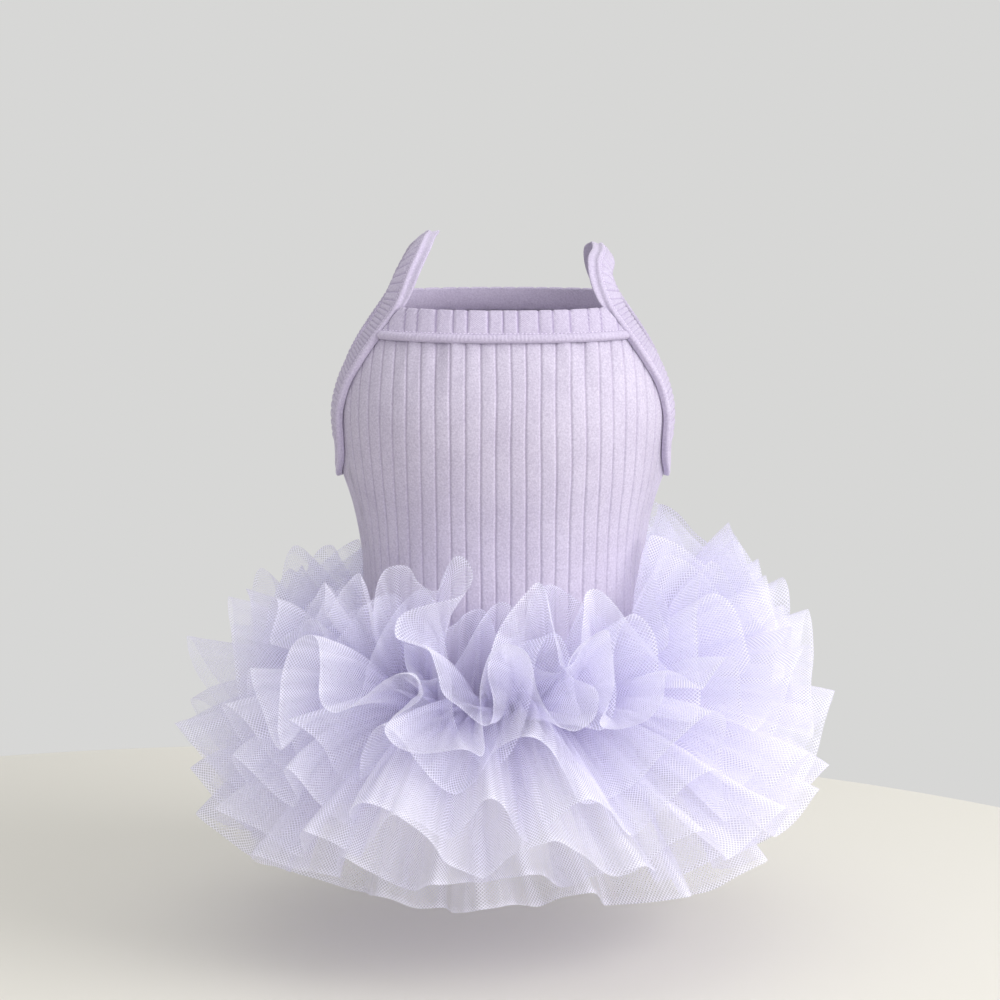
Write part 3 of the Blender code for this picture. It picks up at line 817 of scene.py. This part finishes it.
def build_strap(name, node, side, material):
    """Bound strap over the shoulder and round the leg hole. Returns the ends of its stitches."""
    count = STRAP_STATIONS
    frames = strap_frames(side, count)
    section = len(BINDING_SECTION)

    def on_strap(station, across, proud, beyond=0.0):
        to_side = station["width"] * (1.0 - across) - STRAP_LINING * station["lining"] * beyond
        lift = FREE_EDGE_LIFT + (1.0 - FREE_EDGE_LIFT) * ease(0.0, LIFT_END, across)
        lifted = BINDING_BASE * lift + proud
        return station["seam"] + station["to_free_edge"] * to_side + station["outward"] * lifted

    def place(column, row):
        station = frames[column % count]
        corner = BINDING_SECTION[row % section]
        narrowed = 1.0 - station["width"] / STRAP_WIDTH
        flatter = NARROW_ROLL_LOSS * narrowed * max(corner["rise"] - ROLL_RISE, 0.0)
        proud = BAND_WALL * (corner["rise"] - flatter)
        proud -= STRAP_RIB_RELIEF * corner["rib"] * groove_depth(station["ribs"], STRAP_GROOVE)
        twist = station["along"] / STITCH_PITCH * 2 * math.pi + corner["across"] * ROLL_LAY
        proud += ROLL_TWIST * corner["roll"] * math.sin(twist)
        return on_strap(station, corner["across"], proud, corner["lining"])

    def chart(column, row):
        ribs = frames[column]["ribs"] if column < count else frames[-1]["ribs"] + 0.1
        ribbed = BINDING_SECTION[row % section]["rib"] > 0.0
        return ribs if ribbed else 0.5, row * SECTION_STEP

    bm = bmesh.new()
    add_grid(bm, count, section, place, chart)
    bmesh.ops.remove_doubles(bm, verts=bm.verts, dist=MERGE_DISTANCE)
    bmesh.ops.recalc_face_normals(bm, faces=bm.faces)
    finish_piece(name, bm, "knit_binding", material, node)
    spacing = frames[1]["along"]
    every = max(round(STITCH_PITCH / spacing), 1)
    reach = max(round(STITCH_LENGTH / spacing), 1)
    stitches = []
    for index in range(0, count - reach, every):
        ends = (frames[index], frames[index + reach])
        stitches.append(tuple(on_strap(end, STITCH_ROW_SHARE, STITCH_HEIGHT) for end in ends))
    return stitches


def build_stitches(name, runs, material):
    """Short thread ends that lie in the seam's groove."""
    bm = bmesh.new()
    for start, end in runs:
        along = end - start
        turn = along.to_track_quat("Z", "Y").to_matrix().to_4x4()
        size = Matrix.Diagonal((STITCH_RADIUS, STITCH_RADIUS, along.length / 2, 1.0))
        place = Matrix.Translation((start + end) / 2) @ turn @ size
        bmesh.ops.create_uvsphere(bm, u_segments=6, v_segments=4, radius=1.0, matrix=place)
    finish_piece(name, bm, "knit_binding", material)


# Tulle skirt

def fold_headings(swing, roundness):
    """Headings of the free edge once through a fold."""
    waves = [math.cos(2 * math.pi * step / FOLD_STEPS) for step in range(FOLD_STEPS)]
    return [swing * math.copysign(abs(wave) ** roundness, wave) for wave in waves]


def fold_swing(full, roundness):
    """The swing that makes a fold's edge as many times longer than its way as full says."""
    low, high = 0.0, MOST_SWING
    for _ in range(SWING_TRIES):
        swing = (low + high) / 2
        if sum(math.cos(heading) for heading in fold_headings(swing, roundness)) * full > FOLD_STEPS:
            low = swing
        else:
            high = swing
    return swing


def front_share(turn):
    """1 where a turn faces -Y, falling to 0 at the sides and beyond."""
    return max(math.cos(math.radians(turn)), 0.0) ** 2


def meander(ply, first, last, start, end):
    """Points of a winding free edge from one turn to another: turn, height and distance.

    Where start and end are given, it meets them, each a height and a distance.
    """
    rng = random.Random(ply["seed"])
    count = max(round(ply["folds"] * (last - first) / 360.0), 2)
    folds = []
    for index in range(count):
        width = rng.uniform(*FOLD_WIDTHS)
        full = ply["full"] * rng.uniform(*FULLNESS_SPREAD) * width ** NARROW_FOLD_POWER
        calm = ply["calm"] * front_share(first + (last - first) * (index + 0.5) / count)
        folds.append({
            "width": width,
            "full": 1.0 + (full - 1.0) * (1.0 - calm),
            "round": ply["round"] * rng.uniform(*ROUNDNESS_SPREAD),
            "lift": rng.uniform(-1.0, 1.0),
            "reach": rng.uniform(-1.0, 1.0),
        })
    radius = ply_radius(ply)
    walked = []
    across = 0.0
    for index, fold in enumerate(folds):
        after = folds[(index + 1) % count]
        headings = fold_headings(fold_swing(fold["full"], fold["round"]), fold["round"])
        size = fold["width"] / sum(math.cos(heading) for heading in headings)
        off = 0.0
        for step, heading in enumerate(headings):
            across += math.cos(heading) * size
            off += math.sin(heading) * size
            share = ease(0.0, 1.0, step / FOLD_STEPS)
            lift = fold["lift"] + (after["lift"] - fold["lift"]) * share
            reach = fold["reach"] + (after["reach"] - fold["reach"]) * share
            walked.append((across, off, lift, reach))
    scale = math.radians(last - first) * radius / across
    edge = []
    for index, (across_here, off_here, lift, reach) in enumerate(walked):
        share = (index + 1) / (len(walked) + 1)
        turn = first + (last - first) * across_here / across
        length = ply_length(ply, turn) * (1.0 + EDGE_REACH * reach)
        tilt = math.radians(ply_tilt(ply, turn) + EDGE_LIFT * lift)
        out, up = spine_end(ply, length, tilt)
        swing = off_here * scale
        outer = math.radians(ply["outer"]) + tilt
        height = up + math.cos(outer) * swing
        distance = seam_radius(turn) + out - math.sin(outer) * swing
        if start:
            meet_start = 1.0 - ease(0.0, MEETING_SHARE, share)
            meet_end = ease(1.0 - MEETING_SHARE, 1.0, share)
            for meet, (meet_height, meet_distance) in ((meet_start, start), (meet_end, end)):
                height += (meet_height - height) * meet
                distance += (meet_distance - distance) * meet
        edge.append((turn, height, distance))
    return edge


def seam_radius(turn):
    """Distance of a ply's seam from the middle of the body."""
    point = skin_point(turn, SKIRT_SEAM_DROP)
    return math.hypot(point.x, point.y) + KNIT_WALL + CLEARANCE


def ply_length(ply, turn):
    """Length of a ply from seam to free edge at a turn."""
    side = math.sin(math.radians(turn))
    skewed = TIER_LENGTH * ply["length"] * (1.0 + ply["skew"] * side)
    return skewed * (1.0 - ply["front"] * front_share(turn))


def ply_tilt(ply, turn):
    """How far a ply is tilted up or down at a turn, in degrees."""
    side = math.sin(math.radians(turn))
    return ply["lean"] * side - ply["droop"] * side * side - ply["dip"] * front_share(turn)


def spine_rise(ply, tilt, share):
    """How steeply a ply's middle line rises after a share of its length, in radians."""
    return math.radians(ply["inner"] + (ply["outer"] - ply["inner"]) * share) + tilt * share


def spine_end(ply, length, tilt, share=1.0):
    """Way out and up of a ply's middle line after a share of its length."""
    out, up = 0.0, 0.0
    for step in range(SPINE_STEPS):
        rise = spine_rise(ply, tilt, share * (step + 0.5) / SPINE_STEPS)
        out += math.cos(rise) * length * share / SPINE_STEPS
        up += math.sin(rise) * length * share / SPINE_STEPS
    return out, up


def ply_radius(ply):
    """Mean distance of a ply's free edge from the middle of the body."""
    return seam_radius(45.0) + spine_end(ply, TIER_LENGTH * ply["length"], 0.0)[0]


def smooth_line(points, steps):
    """A smooth curve through the points, in steps between each two."""
    line = []
    for index in range(len(points) - 1):
        four = [points[min(max(index + shift, 0), len(points) - 1)] for shift in (-1, 0, 1, 2)]
        for step in range(steps):
            weights = curve_weights(step / steps)
            point = (sum(w * p[axis] for w, p in zip(weights, four)) for axis in range(3))
            line.append(tuple(point))
    return line


def ring_point(turn, height, distance):
    """Point at a turn, a height and a distance from the body's upright middle line."""
    angle = math.radians(turn)
    return Vector((math.sin(angle) * distance, -math.cos(angle) * distance, height))


def free_edge(index, ply):
    """A ply's free edge, evenly spaced, and the turn on the seam that each place hangs from."""
    rows = TRACED_EDGES.get(index)
    if rows:
        traced = [(turn, up * TIER_LENGTH, out * TIER_LENGTH) for turn, up, out in rows]
        line = smooth_line(traced, TRACED_STEPS)
        first, last = rows[-1][0], rows[0][0] + 360.0
        rest = meander(ply, first, last, traced[-1][1:], traced[0][1:])
        sections = [(rows[0][0], rows[-1][0], line), (first, last, rest)]
    else:
        sections = [(-180.0, 180.0, meander(ply, -180.0, 180.0, None, None))]
    edge = []
    for section, (first, last, line) in enumerate(sections):
        following = sections[(section + 1) % len(sections)][2][0]
        once_round = 360.0 if following[0] < line[-1][0] - 180.0 else 0.0
        line = line + [(following[0] + once_round, *following[1:])]
        places = [ring_point(*point) for point in line]
        lengths = [0.0]
        for here, after in zip(places, places[1:]):
            lengths.append(lengths[-1] + (after - here).length)
        count = round(lengths[-1] / EDGE_STEP)
        at = 0
        for step in range(count):
            target = lengths[-1] * step / count
            while lengths[at + 1] <= target:
                at += 1
            share = (target - lengths[at]) / (lengths[at + 1] - lengths[at])
            turn, height, distance = (a + (b - a) * share for a, b in zip(line[at], line[at + 1]))
            root = first + (last - first) * step / count
            edge.append({"root": root, "turn": turn, "height": height, "distance": distance})
    return edge


def edge_bends(edge):
    """How sharply the free edge bends at each place, from 0 to 1."""
    places = [ring_point(step["turn"], step["height"], step["distance"]) for step in edge]
    count = len(places)
    bends = []
    for index in range(count):
        before = places[index] - places[index - BEND_REACH]
        after = places[(index + BEND_REACH) % count] - places[index]
        bends.append(min(before.angle(after, 0.0) / SHARP_BEND, 1.0))
    return bends


def clear_of_bodice(point, turn):
    """The point, moved straight out from the bodice if it is inside or against it."""
    body = skin_point(turn, -point.z)
    least = math.hypot(body.x, body.y) + KNIT_WALL + 2 * CLEARANCE
    distance = math.hypot(point.x, point.y)
    if point.z > -BODICE_DROP - CLEARANCE and distance < least:
        grown = least / distance
        return Vector((point.x * grown, point.y * grown, point.z))
    return point


def build_ply(index, ply, name, node, material):
    """One gathered ply of tulle, evenly gathered at the seam and swinging freely at its edge."""
    edge = free_edge(index, ply)
    bends = edge_bends(edge)
    columns = len(edge)
    rows = PLY_ROWS
    cut_width = columns * EDGE_STEP
    over_seam = ply["place"] * TIER_SPACING
    seam_drop = SKIRT_SEAM_DROP - over_seam
    stand_off = KNIT_WALL + CLEARANCE + SEAM_STAND_OFF
    length = TIER_LENGTH * ply["length"]
    seed_shift = Vector((ply["seed"] * SEED_SHIFT, 0.0, 0.0))
    plan = []
    for step in edge:
        turn = step["root"]
        root = skin_point(turn, seam_drop) + skin_normal(turn, seam_drop) * stand_off
        tilt = math.radians(ply_tilt(ply, step["turn"]))
        out, up = spine_end(ply, length, tilt)
        reach = step["distance"] - seam_radius(step["turn"])
        more_up = step["height"] - over_seam - up
        plan.append((root.z, math.hypot(root.x, root.y), tilt, reach - out, more_up))
    fullness = cut_width / (2 * math.pi * ply_radius(ply))

    def place(column, row):
        column %= columns
        step = edge[column]
        root_height, root_distance, tilt, more_out, more_up = plan[column]
        share = row / rows
        loose = share * (1.0 - TURN_FREEDOM + TURN_FREEDOM * share)
        turn = step["root"] + (step["turn"] - step["root"]) * loose
        out, up = spine_end(ply, length, tilt, share)
        grown = share ** REACH_POWER
        distance = root_distance + out + more_out * grown
        height = root_height + up + more_up * grown
        ring = 2 * math.pi * distance
        fold = 1.0 + (fullness - 1.0) * grown
        spare = max(cut_width / (ring * fold), 1.0)
        pitch = ring / (columns / PLEAT_COLUMNS)
        pleat = math.sqrt(2 * (spare ** 2 - 1)) * pitch / (2 * math.pi) * PLEAT_STRENGTH
        pleat = min(pleat, MOST_PLEAT) * ease(0.0, PLEAT_START, share) * (1.0 - share) ** PLEAT_FADE
        rise = spine_rise(ply, tilt, share)
        wander = PLEAT_WANDER * math.sin(column * PLEAT_WANDER_RATE)
        wave = pleat * math.sin(column * 2 * math.pi / PLEAT_COLUMNS + wander)
        outward = PLEAT_LIFT * pleat * abs(math.sin(rise)) - wave * math.sin(rise)
        point = ring_point(turn, height + wave * math.cos(rise), distance + outward)
        point += noise.noise_vector(point * NET_WAVES_A_METRE + seed_shift) * (NET_WAVE * share)
        return clear_of_bodice(point, turn)

    def chart(column, row):
        return column * EDGE_STEP, length * row / rows

    bm = bmesh.new()
    bm.loops.layers.uv.new("UVMap")
    cover = bm.verts.layers.float.new("cover")
    seam_shade_fade = bm.verts.layers.float.new("seam_shade_fade")
    grid = add_grid(bm, columns, rows, place, chart)
    for (column, row), vert in grid.items():
        share = row / rows
        bend = bends[column % columns] * share ** 1.5
        crease = noise.noise(Vector((column * CREASES_A_COLUMN, share * CREASES_A_PLY, ply["seed"])))
        cloud = noise.noise(vert.co * CLOUDS_A_METRE)
        vert[cover] = EVEN_COVER + BEND_COVER * bend + CREASE_COVER * crease + CLOUD_COVER * cloud
        vert[cover] += (RIM_COVER if row == rows else 0.0) - THINNING * share
        # Painted shade near the seam, fading out towards the free edge
        vert[seam_shade_fade] = share ** SEAM_SHADE_FADE_POWER
    bmesh.ops.remove_doubles(bm, verts=bm.verts, dist=MERGE_DISTANCE)
    piece = finish_piece(name, bm, "tulle", material, node)


# Stage

def build_stage():
    """Pale round floor under the dress."""
    bm = bmesh.new()
    bmesh.ops.create_circle(bm, cap_ends=True, segments=160, radius=FLOOR_RADIUS)
    bmesh.ops.translate(bm, verts=bm.verts, vec=(*FLOOR_CENTRE, -FLOOR_DROP))
    mesh = bpy.data.meshes.new("floor")
    bm.to_mesh(mesh)
    bm.free()
    recipe = Recipe("pale_floor")
    recipe.set(Base_Color=FLOOR_COLOUR, Roughness=0.5)
    mesh.materials.append(recipe.material)
    floor = bpy.data.objects.new("floor", mesh)
    bpy.context.collection.objects.link(floor)


def add_light(name, place, aim, size, power, colour):
    light = bpy.data.lights.new(name, "AREA")
    light.size = size
    light.energy = power
    light.color = colour
    lamp = bpy.data.objects.new(name, light)
    lamp.location = place
    lamp.rotation_euler = (Vector(aim) - Vector(place)).to_track_quat("-Z", "Y").to_euler()
    bpy.context.collection.objects.link(lamp)


def build_lights():
    for light in LIGHTS:
        add_light(**light)
    world = bpy.data.worlds.new("studio")
    world.use_nodes = True
    background = world.node_tree.nodes["Background"]
    background.inputs["Color"].default_value = WORLD_COLOUR
    background.inputs["Strength"].default_value = WORLD_STRENGTH
    bpy.context.scene.world = world


def build_camera():
    data = bpy.data.cameras.new("photo_camera")
    data.sensor_width = SENSOR_WIDTH
    data.lens = FOCAL_PIXELS / FRAME_PIXELS * SENSOR_WIDTH
    camera = bpy.data.objects.new("photo_camera", data)
    camera.location = CAMERA_PLACE
    camera.rotation_euler = (math.pi / 2 - CAMERA_PITCH, 0.0, 0.0)
    bpy.context.collection.objects.link(camera)
    bpy.context.scene.camera = camera


def main():
    noise.seed_set(NOISE_SEED)
    scene = bpy.context.scene
    scene.view_settings.view_transform = "Standard"
    scene.cycles.transparent_max_bounces = NET_PASSES
    scene.cycles.max_bounces = MOST_BOUNCES
    scene.cycles.diffuse_bounces = DIFFUSE_BOUNCES
    build_camera()
    build_lights()
    build_stage()
    knit = knit_material("lavender_rib_knit", **KNIT_COLOURS)
    binding = knit_material("lavender_binding", **BINDING_COLOURS)
    thread = thread_material("sewing_thread", THREAD_COLOUR)
    build_panel("rib_bodice_back", "back_panel", False, knit)
    build_panel("rib_bodice_belly", "belly_panel", True, knit)
    stitches = []
    for side_name, belly in (("back", False), ("belly", True)):
        name, node = "neck_binding_" + side_name, side_name + "_neck_band"
        stitches += build_neck_band(name, node, belly, binding)
    for side_name, side in (("left", -1), ("right", 1)):
        name, node = "bound_strap_" + side_name, "strap_" + side_name
        stitches += build_strap(name, node, side, binding)
    build_stitches("seam_stitches", stitches, thread)
    tulle = tulle_material("lavender_tulle", **TULLE_COLOURS)
    for index, ply in enumerate(PLIES):
        name = f"{ply['tier']}_ply_{index % 2 + 1}"
        build_ply(index, ply, name, "tulle_tier_" + ply["tier"], tulle)


main()
